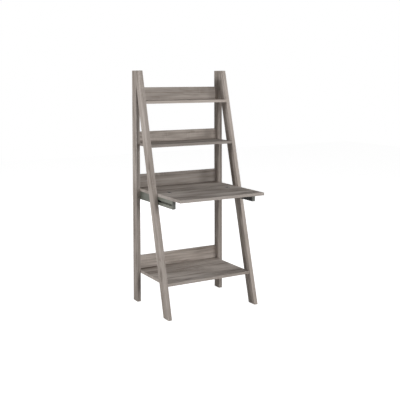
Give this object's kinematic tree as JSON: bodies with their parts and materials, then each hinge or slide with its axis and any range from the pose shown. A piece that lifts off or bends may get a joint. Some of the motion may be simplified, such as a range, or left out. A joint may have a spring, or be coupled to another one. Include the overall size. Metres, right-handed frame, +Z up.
{
  "type": "ladder desk",
  "caption": "A-frame ladder desk with four shelves, low backboards and a fold-up desk leaf that rests on two pull-out steel support arms",
  "frame": {"origin": "on the floor, in the middle of the open desk's outline in plan", "axes": "+Z up, -Y towards the person at the desk, +Y to the rear plane of the posts, -X left and +X right as seen by that person facing the desk"},
  "size_m": [0.66, 0.636, 1.549],
  "materials": {
    "weathered_oak": "matt foil printed as grey weathered oak, grain along each board",
    "slide_steel": "dull grey zinc plating",
    "bright_steel": "bright zinc plating",
    "cap_plastic": "satin grey moulding",
    "black_plastic": "satin black moulding",
    "bumper_rubber": "matt black rubber",
    "hinge_metal": "dark nickel plating, satin",
    "cam_zinc": "raw die-cast zinc"
  },
  "bodies": {
    "frame": {"backboard_screws": "bright_steel", "bottom_backboard": "weathered_oak", "bottom_shelf": "weathered_oak", "cam_bolts": "bright_steel", "cam_discs": "cam_zinc", "desk_backboard": "weathered_oak", "desk_shelf": "weathered_oak", "foot_glides": "black_plastic", "hinge_pins": "hinge_metal", "left_front_leg": "weathered_oak", "left_guide_bumpers": "bumper_rubber", "left_guide_end_plug": "black_plastic", "left_guide_rail": "slide_steel", "left_rear_post": "weathered_oak", "left_slide_plate": "slide_steel", "leg_joint_screws": "bright_steel", "right_front_leg": "weathered_oak", "right_guide_bumpers": "bumper_rubber", "right_guide_end_plug": "black_plastic", "right_guide_rail": "slide_steel", "right_rear_post": "weathered_oak", "right_slide_plate": "slide_steel", "second_backboard": "weathered_oak", "second_shelf": "weathered_oak", "shelf_hinge_cups": "hinge_metal", "slide_rivets": "bright_steel", "slide_screws": "bright_steel", "top_backboard": "weathered_oak", "top_shelf": "weathered_oak"},
    "leaf": {"desk_leaf": "weathered_oak", "leaf_hinge_cups": "hinge_metal"},
    "left_arm": {"left_support_arm": "slide_steel", "left_arm_cap": "cap_plastic", "left_stop_stud": "bright_steel"},
    "left_cage": {"left_roller_cage": "slide_steel", "left_rollers": "bright_steel"},
    "right_arm": {"right_support_arm": "slide_steel", "right_arm_cap": "cap_plastic", "right_stop_stud": "bright_steel"},
    "right_cage": {"right_roller_cage": "slide_steel", "right_rollers": "bright_steel"}
  },
  "joints": [
    {"name": "leaf_hinge", "type": "hinge", "parent": "frame", "child": "leaf", "pos_m": [0, -0.0025, 0.764], "axis": [-1, 0, 0], "range_deg": [0, 104.5]},
    {"name": "left_arm_slide", "type": "slide", "parent": "frame", "child": "left_arm", "axis": [0, 1, 0], "range_m": [0, 0.188]},
    {"name": "left_cage_slide", "type": "slide", "parent": "frame", "child": "left_cage", "axis": [0, 1, 0], "range_m": [0, 0.094]},
    {"name": "right_arm_slide", "type": "slide", "parent": "frame", "child": "right_arm", "axis": [0, 1, 0], "range_m": [0, 0.188]},
    {"name": "right_cage_slide", "type": "slide", "parent": "frame", "child": "right_cage", "axis": [0, 1, 0], "range_m": [0, 0.094]}
  ],
  "couplings": [
    {"joint": "left_cage_slide", "follows": "left_arm_slide", "ratio": 0.5},
    {"joint": "right_cage_slide", "follows": "right_arm_slide", "ratio": 0.5}
  ]
}
